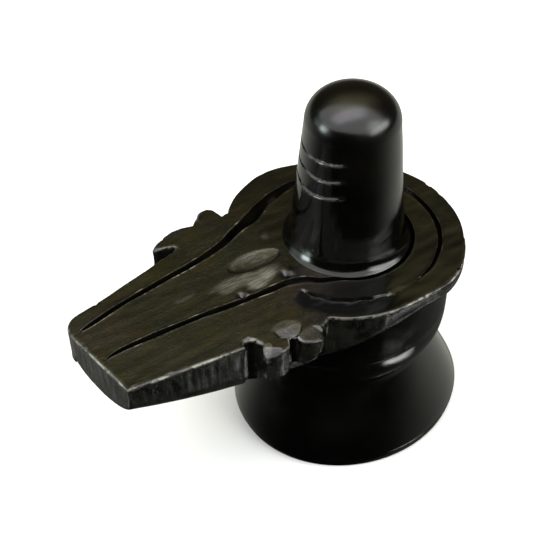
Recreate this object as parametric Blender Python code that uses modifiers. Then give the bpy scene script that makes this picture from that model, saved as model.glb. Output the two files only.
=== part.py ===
"""A shiva lingam carved and turned from one block of black stone, in metres, +Z up.

The origin is on the ground under the lingam's axis. The spout points along -X. A domed
lingam stands on a round plate that runs out into the spout, with a pair of lugs on each
side, and a waisted pedestal carries them.
"""

import math

import bmesh
import bpy
import numpy as np
from mathutils import Vector

# Plate and spout
PLATE_TOP = 0.0562
DISC_RADIUS = 0.0300
SPOUT_REACH = 0.0728
TIP_BACK_WIDTH = 0.0129
TIP_FRONT_WIDTH = 0.0131
ROOT_BACK_WIDTH = 0.0229
ROOT_FRONT_WIDTH = 0.0206
ROOT_PLACE = 0.0225
TIP_SKEW = 0.11
TIP_CORNER = 0.0040
EDGE_WEAR = 0.0005
RIM_THICKNESS = 0.0038
TIP_THICKNESS = 0.0046
ROOT_THICKNESS = 0.0130
TIP_KEEL = 0.0064
ROOT_KEEL = 0.0048
RIM_KEEL = 0.0030

# Lingam
LINGAM_HEIGHT = 0.0432
DOME_HEIGHT = 0.0086
DOME_RADIUS = 0.01147
DOME_FULLNESS = 2.15
SHAFT_FOOT_RADIUS = 0.0147
FLARE_RADIUS = 0.0163
FLARE_HEIGHT = 0.0034

# Three lines cut across the side of the lingam that faces the spout
LINE_COUNT = 3
TOP_LINE_DROP = 0.0137
LINE_PITCH = 0.0047
LINE_SPAN = math.radians(96)
LINE_LIFT = 0.0017
LINE_WIDTH = 0.0007
LINE_DEPTH = 0.0005

# Pedestal
BASE_RADIUS = 0.0303
BELLY_RADIUS = 0.0309
BELLY_HEIGHT = 0.0034
BASE_EDGE = 0.0006
WAIST_RADIUS = 0.0219
WAIST_HEIGHT = 0.0235
WAIST_ROUND = 1.15
CUP_RADIUS = 0.0272
CUP_ROUND = 3.4
CUP_TOP_RADIUS = 0.0266
CUP_LINE_HEIGHT = 0.0360
CUP_LINE_DEPTH = 0.0004
OVAL = 0.057
LEAN_X = 0.0016
LEAN_Y = -0.0017
WAIST_SHIFT_X = -0.0005
WAIST_SHIFT_Y = -0.0007

# Cut grooves on the plate
GROOVE_WIDTH = 0.0013
GROOVE_DEPTH = 0.0011
RING_BORDER = 0.0063
FOOT_GROOVE_GAP = 0.0004

# Lugs
LUG_DEPTH = 0.0092
LUG_DROP = 0.0003
SLOT_WIDTH = 0.0024
SLOT_DEPTH = 0.0012

# Leaf-shaped scoop beside the lingam's foot
SCOOP_LENGTH = 0.0130
SCOOP_WIDTH = 0.0052
SCOOP_DEPTH = 0.0006
SCOOP_CURVE = 0.0015
SCOOP_GAP = 0.0018
SCOOP_SIDE = 0.0062

# How finely round forms are stepped
TURN_STEPS = 80
STATION_STEP = 0.0026
SINK = 0.0030


def curve_through(points, steps):
    """Points on a smooth line through the given ones."""
    ends = [points[0]] + list(points) + [points[-1]]
    found = []
    for i in range(1, len(ends) - 2):
        a, b, c, d = (np.array(p, float) for p in ends[i - 1:i + 3])
        for k in range(steps):
            t = k / steps
            found.append(0.5 * (2 * b + (c - a) * t + (2 * a - 5 * b + 4 * c - d) * t ** 2
                                + (3 * b - a - 3 * c + d) * t ** 3))
    found.append(np.array(points[-1], float))
    return found


def table(pairs, place):
    """A value read between the pairs of a short table."""
    return float(np.interp(place, [p[0] for p in pairs], [p[1] for p in pairs]))


def loft(name, sections, group):
    """A closed solid through sections with equally many points, with flat ends."""
    mesh = bpy.data.meshes.new(name)
    shape = bmesh.new()
    rows = [[shape.verts.new(point) for point in section] for section in sections]
    for low, high in zip(rows, rows[1:]):
        for i in range(len(low)):
            j = (i + 1) % len(low)
            shape.faces.new((low[i], low[j], high[j], high[i]))
    shape.faces.new(list(reversed(rows[0])))
    shape.faces.new(rows[-1])
    bmesh.ops.recalc_face_normals(shape, faces=shape.faces)
    shape.to_mesh(mesh)
    shape.free()
    obj = bpy.data.objects.new(name, mesh)
    group.objects.link(obj)
    return obj


def prism(name, outline, low, high, group):
    """An upright block with the given outline between two heights."""
    bottom = [(x, y, low) for x, y in outline]
    top = [(x, y, high) for x, y in outline]
    return loft(name, [bottom, top], group)


def groove(name, path, group):
    """A wedge that cuts a V along a path of (point, outward, half width, depth, lean of the V)."""
    rise = 0.0006
    sections = []
    for i, (point, outward, half, depth, lean) in enumerate(path):
        before = path[max(i - 1, 0)][0]
        after = path[min(i + 1, len(path) - 1)][0]
        side = (after - before).cross(outward).normalized()
        spread = half * (1 + rise / max(depth, rise) * (1 - abs(lean)))
        sections.append([point - outward * depth + side * half * lean,
                         point + outward * rise + side * spread,
                         point + outward * rise - side * spread])
    return loft(name, sections, group)


def turned(name, profile, group):
    """A solid turned about Z from a profile that runs down its outer side."""
    mesh = bpy.data.meshes.new(name)
    edges = [(i, i + 1) for i in range(len(profile) - 1)]
    mesh.from_pydata([(radius, 0, height) for radius, height in profile], edges, [])
    obj = bpy.data.objects.new(name, mesh)
    group.objects.link(obj)
    screw = obj.modifiers.new("turn", "SCREW")
    screw.steps = TURN_STEPS
    screw.render_steps = TURN_STEPS
    screw.use_merge_vertices = True
    screw.merge_threshold = 0.00001
    return obj


def join(obj, tool, operation):
    """Adds a Boolean to obj and hides its tool."""
    cut = obj.modifiers.new(tool.name, "BOOLEAN")
    cut.object = tool
    cut.operation = operation
    cut.solver = "EXACT"
    tool.hide_render = True
    tool.display_type = "WIRE"


def stone(name):
    """Black stone, polished."""
    material = bpy.data.materials.new(name)
    material.use_nodes = True
    shader = material.node_tree.nodes["Principled BSDF"]
    shader.inputs["Base Color"].default_value = (0.012, 0.012, 0.011, 1)
    shader.inputs["Roughness"].default_value = 0.38
    shader.inputs["Metallic"].default_value = 0
    return material


# How far the hand-cut disc stands out from a true circle, by place across it
BACK_SWELL = ((-1, 1.10), (-0.7, 1.09), (-0.41, 1.09), (-0.2, 1.09),
              (0, 1.07), (0.2, 1.035), (0.6, 0.99), (1, 0.97))
FRONT_SWELL = ((-1, 1.04), (-0.55, 1.0), (-0.1, 0.965), (0.1, 0.968),
               (0.35, 1.01), (0.65, 1.015), (1, 0.97))


def disc_edge(x, swell):
    """Half width of the disc at x on one side."""
    share = max(-1, min(1, x / DISC_RADIUS))
    return DISC_RADIUS * math.sqrt(1 - share ** 2) * table(swell, share)


def spout_edge(x, tip, root):
    """Half width of the spout at x on one side."""
    share = (-ROOT_PLACE - x) / (SPOUT_REACH - ROOT_PLACE)
    return root + (tip - root) * share


def back_edge(x):
    """Y of the plate's back edge, on the +Y side."""
    if x > -ROOT_PLACE:
        return disc_edge(x, BACK_SWELL)
    edge = max(spout_edge(x, TIP_BACK_WIDTH, ROOT_BACK_WIDTH), disc_edge(x, BACK_SWELL))
    past = x + SPOUT_REACH
    if past < TIP_CORNER:
        edge -= TIP_CORNER * (1 - math.sqrt(max(0, 1 - (1 - past / TIP_CORNER) ** 2)))
    return edge


def front_edge(x):
    """Y of the plate's front edge, on the -Y side with the open lugs."""
    if x > -ROOT_PLACE:
        return -disc_edge(x, FRONT_SWELL)
    return -max(spout_edge(x, TIP_FRONT_WIDTH, ROOT_FRONT_WIDTH), disc_edge(x, FRONT_SWELL))


def side_depth(x):
    """Height of the plate's upright side at x."""
    if x > -ROOT_PLACE:
        share = min(1, (x + ROOT_PLACE) / (0.8 * DISC_RADIUS))
        return RIM_THICKNESS + (ROOT_THICKNESS - RIM_THICKNESS) * (1 - share) ** 1.9
    share = (x + SPOUT_REACH) / (SPOUT_REACH - ROOT_PLACE)
    return TIP_THICKNESS + (ROOT_THICKNESS - TIP_THICKNESS) * math.sin(share * math.pi / 2) ** 0.85


def keel_depth(x):
    """How far the rounded underside hangs below the sides at x."""
    ends = ((-SPOUT_REACH, TIP_KEEL), (-ROOT_PLACE, ROOT_KEEL), (0, RIM_KEEL), (DISC_RADIUS, 0.0006))
    return table(ends, x)


def plate_section(x):
    """The plate cut across at x, as points around it."""
    back = back_edge(x)
    front = front_edge(x)
    depth = side_depth(x)
    keel = keel_depth(x)
    middle = (back + front) / 2
    half = (back - front) / 2
    wear = min(EDGE_WEAR, half / 3)
    points = [(front + wear, 0), (front, -wear), (front, -depth)]
    for step in range(1, 8):
        angle = math.pi * step / 8
        sag = keel * math.sin(angle) ** 0.9 * (1 - 0.1 * math.cos(angle))
        points.append((middle - half * math.cos(angle), -depth - sag))
    points += [(back, -depth), (back, -wear), (back - wear, 0)]
    lean = TIP_SKEW * max(0, min(1, (-x - SPOUT_REACH * 0.8) / (SPOUT_REACH * 0.2)))
    return [(x - lean * y, y, PLATE_TOP + z) for y, z in points]


def plate_places():
    """Places along X at which the plate is cut, closer where it curves."""
    places = [-SPOUT_REACH, -SPOUT_REACH + TIP_CORNER * 0.15, -SPOUT_REACH + TIP_CORNER * 0.5]
    spout = SPOUT_REACH - TIP_CORNER - ROOT_PLACE
    count = round(spout / STATION_STEP)
    places += [-SPOUT_REACH + TIP_CORNER + spout * i / count for i in range(count)]
    start = math.acos(ROOT_PLACE / DISC_RADIUS)
    turns = 26
    for i in range(turns):
        places.append(-DISC_RADIUS * math.cos(start + (math.pi - 0.06 - start) * i / (turns - 1)))
    return places


def lingam_profile():
    """Radius and height of the lingam, from its top down into the plate."""
    top = PLATE_TOP + LINGAM_HEIGHT
    shoulder = top - DOME_HEIGHT
    profile = []
    for step in range(11):
        angle = math.pi / 2 * step / 10
        radius = DOME_RADIUS * math.sin(angle) ** (2 / DOME_FULLNESS)
        height = shoulder + DOME_HEIGHT * max(math.cos(angle), 0) ** (2 / DOME_FULLNESS)
        profile.append((radius, height))
    shaft = shoulder - PLATE_TOP
    for share in (0.25, 0.5, 0.72):
        profile.append((DOME_RADIUS + (SHAFT_FOOT_RADIUS - DOME_RADIUS) * share, shoulder - shaft * share))
    for step in range(5):
        share = step / 4
        height = PLATE_TOP + FLARE_HEIGHT * (1 - share)
        straight = SHAFT_FOOT_RADIUS - (SHAFT_FOOT_RADIUS - DOME_RADIUS) * (height - PLATE_TOP) / shaft
        profile.append((straight + (FLARE_RADIUS - SHAFT_FOOT_RADIUS) * share ** 2.8, height))
    profile += [(FLARE_RADIUS, PLATE_TOP - SINK * 0.9), (0, PLATE_TOP - SINK * 0.9)]
    return profile


def pedestal_rows():
    """Radius and height of the pedestal, from the ground up into the plate."""
    rows = [(BASE_RADIUS - BASE_EDGE, 0), (BASE_RADIUS, BASE_EDGE)]
    rows.append(((BASE_RADIUS + 3 * BELLY_RADIUS) / 4, BELLY_HEIGHT / 2))
    for step in range(8):
        share = step / 7
        radius = BELLY_RADIUS - (BELLY_RADIUS - WAIST_RADIUS) * share ** WAIST_ROUND
        rows.append((radius, BELLY_HEIGHT + (WAIST_HEIGHT - BELLY_HEIGHT) * share))
    for share in (0.06, 0.14, 0.26, 0.42, 0.65):
        radius = CUP_RADIUS - (CUP_RADIUS - WAIST_RADIUS) * (1 - share) ** CUP_ROUND
        rows.append((radius, WAIST_HEIGHT + (CUP_LINE_HEIGHT - WAIST_HEIGHT) * share))
    rows.append((CUP_RADIUS, CUP_LINE_HEIGHT - CUP_LINE_DEPTH))
    rows.append((CUP_RADIUS - CUP_LINE_DEPTH, CUP_LINE_HEIGHT))
    rows.append((CUP_TOP_RADIUS, PLATE_TOP - RIM_THICKNESS / 2 - SINK / 2))
    return rows


def pedestal_section(radius, height):
    """One oval ring of the pedestal, drifting as the hand-shaped foot leans."""
    lean = max(0, 1 - height / WAIST_HEIGHT)
    middle_x = WAIST_SHIFT_X + LEAN_X * lean
    middle_y = WAIST_SHIFT_Y + LEAN_Y * lean
    ring = []
    for step in range(TURN_STEPS):
        angle = 2 * math.pi * step / TURN_STEPS
        ring.append((middle_x + radius * (1 + OVAL) * math.cos(angle),
                     middle_y + radius * (1 - OVAL) * math.sin(angle), height))
    return ring


def on_plate(points, steps):
    """A groove's path on the plate's top from (x, y, width share, depth share, lean)."""
    path = []
    for x, y, wide, deep, lean in curve_through([(point + (0,))[:5] for point in points], steps):
        half = max(GROOVE_WIDTH * wide / 2, 0.00005)
        path.append((Vector((x, y, PLATE_TOP)), Vector((0, 0, 1)), half, GROOVE_DEPTH * deep, lean))
    return path


def ring_points(start, end, count, radius, wide, deep):
    """Points on a ring about the axis, with the groove's shares at both ends."""
    found = []
    for i in range(count):
        share = i / (count - 1)
        angle = math.radians(start + (end - start) * share)
        found.append((radius * math.cos(angle), radius * math.sin(angle),
                      wide[0] + (wide[1] - wide[0]) * share, deep[0] + (deep[1] - deep[0]) * share))
    return found


def outer_groove_path():
    """The groove along the back of the spout and on around the disc."""
    reach = SPOUT_REACH
    ring = DISC_RADIUS - RING_BORDER
    width = TIP_BACK_WIDTH
    points = [(-reach * 0.985, width * 0.66, 0.3, 0.05), (-reach * 0.92, width * 0.73, 0.8, 0.8),
              (-reach * 0.79, width * 0.86, 0.9, 0.9), (-reach * 0.64, width * 0.94, 1, 1),
              (-reach * 0.52, width * 1.0, 1.1, 1), (-reach * 0.39, ring * 0.615, 1.3, 1.1),
              (-ring * 0.93, ring * 0.72, 1.6, 1.2), (-ring * 0.68, ring * 0.80, 2.0, 1.3),
              (-ring * 0.42, ring * 0.92, 1.8, 1.2)]
    points += ring_points(92, -62, 9, ring, (1.2, 1), (1, 0.9))
    points += ring_points(-78, -92, 2, ring * 1.02, (0.6, 0.5), (0.4, 0.3))
    points += [(-ring * 0.30, -ring * 0.95, 1.0, 0.5, 0.3), (-ring * 0.47, -ring * 0.87, 1.8, 0.9, 0.6),
               (-ring * 0.66, -ring * 0.78, 3.2, 1.3, 0.7), (-ring * 0.86, -ring * 0.69, 4.0, 1.5, 0.7),
               (-ring * 1.02, -ring * 0.60, 2.0, 0.7, 0.6), (-ring * 1.14, -ring * 0.52, 0.3, 0.02, 0)]
    return on_plate(points, 3)


def inner_groove_path():
    """The groove along the front of the spout and on around the lingam's foot."""
    reach = SPOUT_REACH
    foot = FLARE_RADIUS + FOOT_GROOVE_GAP
    width = TIP_FRONT_WIDTH
    points = [(-reach * 0.972, -width * 0.18, 0.3, 0.05), (-reach * 0.91, -width * 0.14, 0.8, 0.8),
              (-reach * 0.76, -width * 0.19, 1, 1), (-reach * 0.61, -width * 0.27, 1, 1),
              (-reach * 0.48, -width * 0.37, 1.1, 1), (-reach * 0.37, -width * 0.43, 1.2, 1),
              (-foot * 1.36, -foot * 0.36, 1.2, 1), (-foot * 1.1, -foot * 0.46, 1.2, 1),
              (-foot * 0.93, -foot * 0.6, 1.1, 1)]
    points += ring_points(-133, 10, 12, foot, (1, 0.8), (1, 0.8))
    points += ring_points(26, 40, 2, foot, (0.5, 0.3), (0.3, 0.02))
    return on_plate(points, 3)


def line_path(drop):
    """One line cut across the lingam, rising a little at its ends."""
    path = []
    shaft = LINGAM_HEIGHT - DOME_HEIGHT
    slope = (SHAFT_FOOT_RADIUS - DOME_RADIUS) / shaft
    count = 22
    for i in range(count + 1):
        share = 2 * i / count - 1
        angle = math.pi + share * LINE_SPAN / 2
        height = PLATE_TOP + LINGAM_HEIGHT - drop + LINE_LIFT * share ** 2
        radius = DOME_RADIUS + slope * (PLATE_TOP + shaft - height)
        outward = Vector((math.cos(angle), math.sin(angle), slope)).normalized()
        fade = max(0.02, 1 - abs(share) ** 6)
        point = Vector((radius * math.cos(angle), radius * math.sin(angle), height))
        path.append((point, outward, LINE_WIDTH / 2 * fade, LINE_DEPTH * fade, 0))
    return path


def scoop(group):
    """A leaf-shaped hollow pressed into the plate before the lingam's foot."""
    above = SCOOP_CURVE - SCOOP_DEPTH
    share = math.sqrt(1 - (above / SCOOP_CURVE) ** 2)
    mesh = bpy.data.meshes.new("scoop")
    shape = bmesh.new()
    bmesh.ops.create_uvsphere(shape, u_segments=24, v_segments=14, radius=1)
    size = Vector((SCOOP_LENGTH / 2 / share, SCOOP_WIDTH / 2 / share, SCOOP_CURVE))
    bmesh.ops.scale(shape, vec=size, verts=shape.verts)
    shape.to_mesh(mesh)
    shape.free()
    obj = bpy.data.objects.new("scoop", mesh)
    obj.location = (-FLARE_RADIUS - SCOOP_GAP - SCOOP_LENGTH / 2, SCOOP_SIDE, PLATE_TOP + above)
    group.objects.link(obj)
    return obj


def lug_outlines():
    """Plan outlines of the four lugs, set against the spout's edges."""
    root = -ROOT_PLACE
    front = {
        "front_near_lug": [(root - 0.0166, 0.0015), (root - 0.0182, -0.0022), (root - 0.0142, -0.0042),
                           (root - 0.0121, -0.0038), (root - 0.0108, 0.0015)],
        "front_far_lug": [(root - 0.0082, 0.0020), (root - 0.0088, -0.0010), (root - 0.0068, -0.0036),
                          (root - 0.0044, -0.0050), (root - 0.0032, -0.0024), (root + 0.0004, 0.0020)],
    }
    back = {
        "back_near_lug": [(root - 0.0222, -0.0015), (root - 0.0207, 0.0032), (root - 0.0192, 0.0054),
                          (root - 0.0165, 0.0066), (root - 0.0130, 0.0066), (root - 0.0095, 0.0052),
                          (root - 0.0068, 0.0044), (root - 0.0064, -0.0015)],
        "back_far_lug": [(root - 0.0070, -0.0015), (root - 0.0058, 0.0058), (root - 0.0042, 0.0070),
                         (root - 0.0022, 0.0066), (root - 0.0008, 0.0042), (root + 0.0008, 0.0014),
                         (root + 0.0030, -0.0015)],
    }
    placed = {}
    for name, outline in front.items():
        placed[name] = [(x, front_edge(min(x, root)) + y) for x, y in outline]
    for name, outline in back.items():
        placed[name] = [(x, back_edge(min(x, root)) + y) for x, y in outline]
    return placed


def slot_outlines():
    """Plan outlines of the dark slots where the first lugs spring from the spout's sides."""
    x = -ROOT_PLACE - 0.0174
    front = front_edge(x)
    back = back_edge(x)
    return {
        "front_slot": [(x - SLOT_WIDTH, front - 0.0010), (x - SLOT_WIDTH * 0.8, front + SLOT_DEPTH * 0.5),
                       (x - SLOT_WIDTH * 0.1, front + SLOT_DEPTH), (x + SLOT_WIDTH * 0.15, front - 0.0005),
                       (x - SLOT_WIDTH * 0.2, front - 0.0050), (x - SLOT_WIDTH, front - 0.0050)],
        "back_slot": [(x - SLOT_WIDTH * 2.6, back + 0.0012), (x - SLOT_WIDTH * 2.4, back - 0.0002),
                      (x + SLOT_WIDTH * 0.5, back + 0.0010), (x - SLOT_WIDTH * 0.9, back + 0.0030)],
    }


def build():
    """Models the stone as one solid."""
    for obj in list(bpy.data.objects):
        bpy.data.objects.remove(obj, do_unlink=True)
    parts = bpy.data.collections.new("Shiva lingam")
    cutters = bpy.data.collections.new("Cutters")
    bpy.context.scene.collection.children.link(parts)
    bpy.context.scene.collection.children.link(cutters)

    rings = [pedestal_section(radius, height) for radius, height in pedestal_rows()]
    body = loft("shiva_lingam", rings, parts)
    join(body, loft("plate", [plate_section(x) for x in plate_places()], cutters), "UNION")
    join(body, turned("lingam", lingam_profile(), cutters), "UNION")
    lug_top = PLATE_TOP - LUG_DROP
    for name, outline in lug_outlines().items():
        join(body, prism(name, outline, lug_top - LUG_DEPTH, lug_top, cutters), "UNION")
    slot_floor = PLATE_TOP - ROOT_THICKNESS * 0.8
    for name, outline in slot_outlines().items():
        join(body, prism(name, outline, slot_floor, PLATE_TOP + 0.001, cutters), "DIFFERENCE")
    join(body, groove("outer_groove", outer_groove_path(), cutters), "DIFFERENCE")
    join(body, groove("inner_groove", inner_groove_path(), cutters), "DIFFERENCE")
    join(body, scoop(cutters), "DIFFERENCE")
    for line in range(LINE_COUNT):
        path = line_path(TOP_LINE_DROP + LINE_PITCH * line)
        join(body, groove("line_%d" % (line + 1), path, cutters), "DIFFERENCE")

    body.data.materials.append(stone("black_stone"))
    for tool in cutters.objects:
        if not tool.data.materials:
            tool.data.materials.append(body.data.materials[0])
    body.data.shade_smooth()
    body.data.set_sharp_from_angle(angle=math.radians(35))


build()
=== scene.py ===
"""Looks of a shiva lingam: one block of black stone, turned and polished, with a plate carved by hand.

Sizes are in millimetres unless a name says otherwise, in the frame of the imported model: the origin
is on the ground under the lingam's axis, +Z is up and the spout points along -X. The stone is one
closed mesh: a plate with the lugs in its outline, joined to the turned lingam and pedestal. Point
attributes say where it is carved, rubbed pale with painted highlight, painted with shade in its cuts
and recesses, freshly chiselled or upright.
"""

import math

import bmesh
import bpy
import numpy as np
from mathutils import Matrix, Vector, noise
from mathutils.geometry import delaunay_2d_cdt


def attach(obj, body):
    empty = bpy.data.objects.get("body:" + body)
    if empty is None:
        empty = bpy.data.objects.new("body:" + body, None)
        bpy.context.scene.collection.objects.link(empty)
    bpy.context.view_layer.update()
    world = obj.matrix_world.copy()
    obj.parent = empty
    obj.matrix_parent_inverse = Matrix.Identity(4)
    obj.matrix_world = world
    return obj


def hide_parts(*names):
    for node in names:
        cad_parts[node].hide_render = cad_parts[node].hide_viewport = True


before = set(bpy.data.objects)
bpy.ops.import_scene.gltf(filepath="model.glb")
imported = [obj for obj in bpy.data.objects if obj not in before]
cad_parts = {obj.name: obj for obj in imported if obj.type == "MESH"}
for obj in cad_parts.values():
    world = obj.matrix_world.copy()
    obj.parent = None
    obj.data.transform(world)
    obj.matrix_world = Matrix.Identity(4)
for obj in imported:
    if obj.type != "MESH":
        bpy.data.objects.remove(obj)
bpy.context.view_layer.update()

MM = 0.001

# Plate and spout
PLATE_TOP = 56.2
DISC_RADIUS = 30.0
SPOUT_REACH = 72.75
TIP_BACK_WIDTH = 12.9
TIP_FRONT_WIDTH = 13.1
ROOT_BACK_WIDTH = 22.9
ROOT_FRONT_WIDTH = 20.6
ROOT_PLACE = 22.5
TIP_SKEW = 0.11
SKEWED_SHARE = 0.2
TIP_CORNER = 4.0
RIM_THICKNESS = 3.8
TIP_THICKNESS = 4.6
ROOT_THICKNESS = 13.0
RIM_TAPER_PLACE = 0.8 * DISC_RADIUS
RIM_TAPER = 1.9
SPOUT_TAPER = 0.85
TIP_KEEL = 6.4
ROOT_KEEL = 4.8
RIM_KEEL = 3.0
FAR_KEEL = 0.6
EDGE_ROUND = 0.45
EDGE_CHIP = 0.5
UNDER_ROUND = 0.7

# How far the hand-cut disc stands out from a true circle, by place across it
BACK_SWELL = ((-1, 1.10), (-0.7, 1.09), (-0.41, 1.087), (-0.2, 1.087),
              (0, 1.067), (0.2, 1.035), (0.6, 0.99), (1, 0.97))
FRONT_SWELL = ((-1, 1.04), (-0.55, 1.0), (-0.1, 0.965), (0.1, 0.968),
               (0.35, 1.01), (0.65, 1.015), (1, 0.97))

# Plan outlines of the lugs and the notches beside them, as (x, y from the plate's own edge)
FRONT_LUGS = ((-42.9, 0.0), (-42.8, 1.1), (-42.2, 1.8), (-41.0, 1.9), (-40.0, 1.3), (-39.6, 0.2),
              (-39.1, -0.9), (-40.0, -2.2), (-40.4, -4.3), (-38.4, -5.0), (-36.4, -5.1),
              (-34.4, -4.3), (-33.8, -3.2), (-33.2, -1.9), (-32.2, -1.6), (-31.5, -2.4),
              (-31.0, -4.4), (-29.0, -5.3), (-27.0, -5.5), (-25.8, -4.7), (-24.9, -2.4),
              (-23.6, -1.5), (-22.0, -0.6))
BACK_LUGS = ((-20.6, 0.5), (-22.0, 1.5), (-22.6, 4.2), (-23.7, 5.7), (-25.6, 6.2), (-28.0, 5.8),
             (-28.9, 4.6), (-30.2, 3.6), (-33.3, 5.3), (-35.8, 6.0), (-38.6, 5.9), (-41.2, 5.4),
             (-43.3, 4.6), (-43.0, 3.7), (-40.4, 2.6), (-38.2, 1.3), (-38.0, 0.5), (-39.4, 0.0))
LUGS_END = -21.0
BACK_LUG_DEPTH = 9.4
# Height of the front lugs' undersides, as (x, z)
FRONT_LUG_FLOOR = ((-34, 47.2), (-32.6, 46.2), (-25.2, 52.9))
# Slanting cuts on the lugs' tops: a point where the cut starts, its way down, slope, middle and reach
LUG_FACETS = (((-38.6, -20.6), (-0.62, -0.78), 0.62, (-39.6, -21.8), 3.4),
              ((-31.6, -21.2), (0.10, -0.99), 0.20, (-28.6, -23.4), 3.6),
              ((-29.6, -18.3), (-0.2, -0.98), 0.28, (-31.6, -18.0), 3.6),
              ((-27.6, 26.2), (-0.75, 0.66), 1.1, (-28.0, 27.2), 1.5),
              ((-41.6, 22.7), (-0.8, -0.3), 0.5, (-42.6, 22.6), 2.0))
# Places in the front notches that get painted shade, and how far the painted shade reaches
NOTCH_SHADE_PLACES = ((-41.4, -17.4), (-32.3, -21.6))
NOTCH_SHADE_REACH = (1.3, 1.9)

# Lingam
LINGAM_HEIGHT = 43.2
DOME_HEIGHT = 8.6
DOME_RADIUS = 11.47
DOME_FULLNESS = 2.15
SHAFT_FOOT_RADIUS = 14.7
FLARE_RADIUS = 16.3
FLARE_HEIGHT = 4.4
FLARE_POWER = 2.4
SHAFT_WAVE = 0.05

# Three lines cut across the lingam
LINE_COUNT = 3
TOP_LINE_DROP = 13.7
LINE_PITCH = 4.7
LINE_SPAN = math.radians(96)
LINE_LIFT = 1.7
LINE_WAVER = 0.12
LINE_HALF_WIDTH = 0.42
LINE_DEPTH = 0.5

# Pedestal
BASE_RADIUS = 30.25
BELLY_RADIUS = 30.85
BELLY_HEIGHT = 3.4
BASE_EDGE = 0.6
WAIST_RADIUS = 21.9
WAIST_HEIGHT = 23.5
WAIST_ROUND = 1.15
CUP_RADIUS = 27.2
CUP_ROUND = 3.4
CUP_TOP_RADIUS = 26.6
CUP_LINE_HEIGHT = 36.0
CUP_LINE_HALF_WIDTH = 0.48
CUP_LINE_DEPTH = 0.25
OVAL = 0.057
LEAN_X = 1.6
LEAN_Y = -1.7
WAIST_SHIFT_X = -0.5
WAIST_SHIFT_Y = -0.7
POLISHED_TOP = 38

# Cut grooves and carving on the plate
GROOVE_HALF_WIDTH = 0.75
GROOVE_DEPTH = 1.7
GROOVE_PROFILE = 0.8
GROOVE_WAVER = 0.14
DEPTH_WAVER = 0.16
LIP_PLACE = 1.2
LIP_RISE = 0.06
RING_BORDER = 6.3
FOOT_GROOVE_GAP = 0.4
TOP_WAVE = 0.10
TOP_MARKS = 0.045
UNDER_WAVE = 0.18
WALL_STROKES = 0.10
HOLLOW_DEPTH = 0.95
HOLLOW_WALL = 0.45
HOLLOW_REACH = 7.0
HOLLOW_START = -158
HOLLOW_END = -84
SCOOP_PLACE = (-24.9, 5.2)
SCOOP_HALF = (7.2, 2.9)
SCOOP_DEPTH = 0.8
# Small notches beside the front groove, as (x, y, size)
NUBS = ((-33.9, -3.4, 1.5), (-21.0, -3.4, 1.8))
NUB_DEPTH = 0.85
NUB_RISE = 0.35

# How finely the surfaces are divided
OUTLINE_PITCH = 0.45
GROOVE_PITCH = 0.42
FILL_PITCH = 0.55
UNDER_PITCH = 1.9
# Shares of a groove's half width with a row of points; None is its deepest line
GROOVE_ROWS = (-1.45, -LIP_PLACE, -1.0, -0.8, None, 0.8, 1.0, LIP_PLACE, 1.45)
# Shares of the rounded edge's radius with a ring of points
TOP_RINGS = (0.12, 0.4, 1.0)
UNDER_RINGS = (0.15, 0.5, 1.0)
WALL_ROWS = (0.05, 0.13, 0.24, 0.36, 0.48, 0.6, 0.72, 0.86)
TURN_STEPS = 192
DOME_STEPS = 30
FLARE_STEPS = 12
SINK = 3.0
SHARP_ANGLE = 38
BLOCK = 2000

# Freshly chiselled patches on the plate's top: middle, half sizes, turn in degrees and paleness
PALE_PATCHES = (((-30.4, 0.6), (10.5, 2.8), -8, 1.0), ((-27.4, -1.4), (5.6, 2.2), 5, 1.7),
                ((-31.3, -17.4), (4.6, 1.6), -10, 0.62), ((-39.2, -21.0), (1.7, 1.4), 0, 0.9),
                ((-45.5, 4.1), (3.4, 0.9), 0, 0.4), ((-17.5, 10.9), (1.7, 1.2), 30, 0.5))

# Colours of the stone
BROWN = (0.0070, 0.0050, 0.0006)
GREEN = (0.0028, 0.0034, 0.0020)
RUST = (0.0090, 0.0058, 0.0040)
WALL_GREY = (0.0066, 0.0073, 0.0058)
PIT_BLACK = (0.0006, 0.0006, 0.0004)
SCRATCH = (0.013, 0.0125, 0.0085)
SPECK = (0.016, 0.016, 0.012)
FRESH = (0.046, 0.044, 0.037)
# Painted shade for the grooves and recesses.
PAINTED_SHADE_BLACK = (0.0008, 0.0008, 0.0008)
POLISHED_BLACK = (0.0006, 0.0006, 0.0006)
POLISHED_OLIVE = (0.0018, 0.0017, 0.0010)
# Pale edges: rubbed pale and painted highlight on the plate's rims and groove lips, painted glints on the
# lingam's lines.
WORN_AND_GLINT_GREY = (0.30, 0.295, 0.25)
BUMP_DEPTH_M = 0.00011
DOME_START_M = 0.087
DOME_END_M = 0.093

# Camera and floor
CAMERA_PLACE_M = (-0.1360, -0.1596, 0.2418)
CAMERA_TILT = 46.191
CAMERA_TURN = -35.5
CAMERA_LENS = 72.14
CAMERA_SENSOR = 36
FLOOR_HALF = 1500
FLOOR_DROP_M = 0.0002
FLOOR_COLOUR = (0.86, 0.86, 0.86, 1)

# Surround: the room behind the object, the pale table below it, and what the camera sees
ROOM_COLOUR = (0.40, 0.36, 0.20)
TABLE_COLOUR = (0.98, 1.0, 0.88)
BACKDROP = (0.93, 0.93, 0.93)
BEHIND = 45
SPOUT_SIDE = 135
# Panels overhead: middle and half sizes one unit up, turn in degrees, softness, colour, strength
CEILINGS = (((-0.56, -0.44), (1.05, 2.3), 40, 0.10, (1.0, 1.0, 0.98), 1.9),
            ((-0.30, 0.02), (0.62, 0.26), -14, 0.3, (1.0, 0.93, 1.08), 3.0),
            ((0.50, -1.22), (0.42, 0.42), -20, 0.3, (0.93, 1.04, 0.96), 3.0))
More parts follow.
